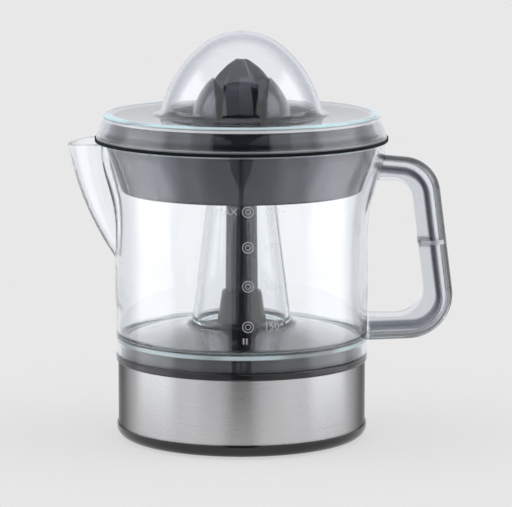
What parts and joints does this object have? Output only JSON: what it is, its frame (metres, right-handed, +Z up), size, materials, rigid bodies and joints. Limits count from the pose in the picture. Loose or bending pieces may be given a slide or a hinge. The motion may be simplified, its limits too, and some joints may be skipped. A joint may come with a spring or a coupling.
{
  "type": "electric citrus juicer",
  "caption": "Electric citrus juicer: a clear jug with spout and handle on a motor base, a strainer, a pressed and geared reamer and a clear domed cover.",
  "frame": {"origin": "on the spin axis, in the plane of the table that the rubber ring stands on", "axes": "+Z up along the spin axis, +X towards the handle, -X towards the spout, -Y towards the front"},
  "size_m": [0.1949, 0.148, 0.2064],
  "materials": {
    "black_plastic": "black satin moulding",
    "clear_plastic": "clear glossy moulding",
    "dark_plastic": "dark grey glossy moulding",
    "steel_sheet": "brushed sheet",
    "steel": "bright steel",
    "rubber": "soft black rubber",
    "laminations": "stacked iron sheets",
    "magnet": "pressed ferrite",
    "nylon": "natural nylon",
    "copper": "enamelled copper wire",
    "bronze": "sintered bronze"
  },
  "bodies": {
    "base": {"base_plate": "black_plastic", "rubber_ring": "rubber", "steel_band": "steel_sheet", "motor_housing": "black_plastic", "cord_gland": "black_plastic", "base_screws": "steel", "gear_plate": "steel", "gear_plate_screws": "steel", "stator_core": "laminations", "coil_bobbins": "nylon", "coil_windings": "copper", "bearing_bridge": "steel", "motor_spacers": "steel", "motor_screws": "steel", "rotor_bearings": "bronze", "idler_axle": "steel", "lower_bush": "bronze", "upper_bush": "bronze", "shaft_seal": "rubber", "return_spring": "steel", "switch_body": "black_plastic"},
    "press": {"press_plate": "nylon"},
    "drive": {"output_gear": "nylon", "spindle": "steel"},
    "idler": {"idler_gear": "nylon"},
    "rotor": {"rotor_magnet": "magnet", "rotor_shaft": "steel", "rotor_pinion": "nylon"},
    "plunger": {"switch_plunger": "nylon"},
    "jug": {"jug": "clear_plastic"},
    "strainer": {"strainer_bowl": "dark_plastic"},
    "cover": {"dust_cover": "clear_plastic"},
    "shaft": {"drive_shaft": "dark_plastic"},
    "reamer": {"small_cone": "dark_plastic", "large_cone": "dark_plastic"}
  },
  "joints": [
    {"name": "press_slide", "type": "slide", "parent": "base", "child": "press", "axis": [0, 0, 1], "range_m": [-0.0025, 0], "stiffness_N_per_m": 1500, "springref_m": 0.004, "deforming": ["return_spring"]},
    {"name": "spindle_spin", "type": "hinge", "parent": "press", "child": "drive", "pos_m": [0, 0, 0.05], "axis": [0, 0, 1], "continuous": true},
    {"name": "idler_spin", "type": "hinge", "parent": "base", "child": "idler", "pos_m": [-0.0272, 0.00946, 0.04], "axis": [0, 0, 1], "continuous": true},
    {"name": "rotor_spin", "type": "hinge", "parent": "base", "child": "rotor", "pos_m": [-0.018, 0.029, 0.02], "axis": [0, 0, 1], "continuous": true},
    {"name": "plunger_slide", "type": "slide", "parent": "base", "child": "plunger", "axis": [0, 0, 1], "range_m": [-0.0025, 0]},
    {"name": "jug_lift", "type": "slide", "parent": "base", "child": "jug", "axis": [0, 0, 1], "range_m": [0, 0.065]},
    {"name": "shaft_lift", "type": "slide", "parent": "drive", "child": "shaft", "axis": [0, 0, 1], "range_m": [0, 0.065]},
    {"name": "strainer_lift", "type": "slide", "parent": "jug", "child": "strainer", "axis": [0, 0, 1], "range_m": [0, 0.05]},
    {"name": "cone_lift", "type": "slide", "parent": "shaft", "child": "reamer", "axis": [0, 0, 1], "range_m": [0, 0.05]},
    {"name": "cover_lift", "type": "slide", "parent": "strainer", "child": "cover", "axis": [0, 0, 1], "range_m": [0, 0.055]}
  ],
  "couplings": [
    {"joint": "idler_spin", "follows": "rotor_spin", "ratio": -0.2},
    {"joint": "spindle_spin", "follows": "rotor_spin", "ratio": 0.04},
    {"joint": "plunger_slide", "follows": "press_slide", "ratio": 1},
    {"joint": "shaft_lift", "follows": "jug_lift", "ratio": 1},
    {"joint": "cone_lift", "follows": "strainer_lift", "ratio": 1}
  ]
}
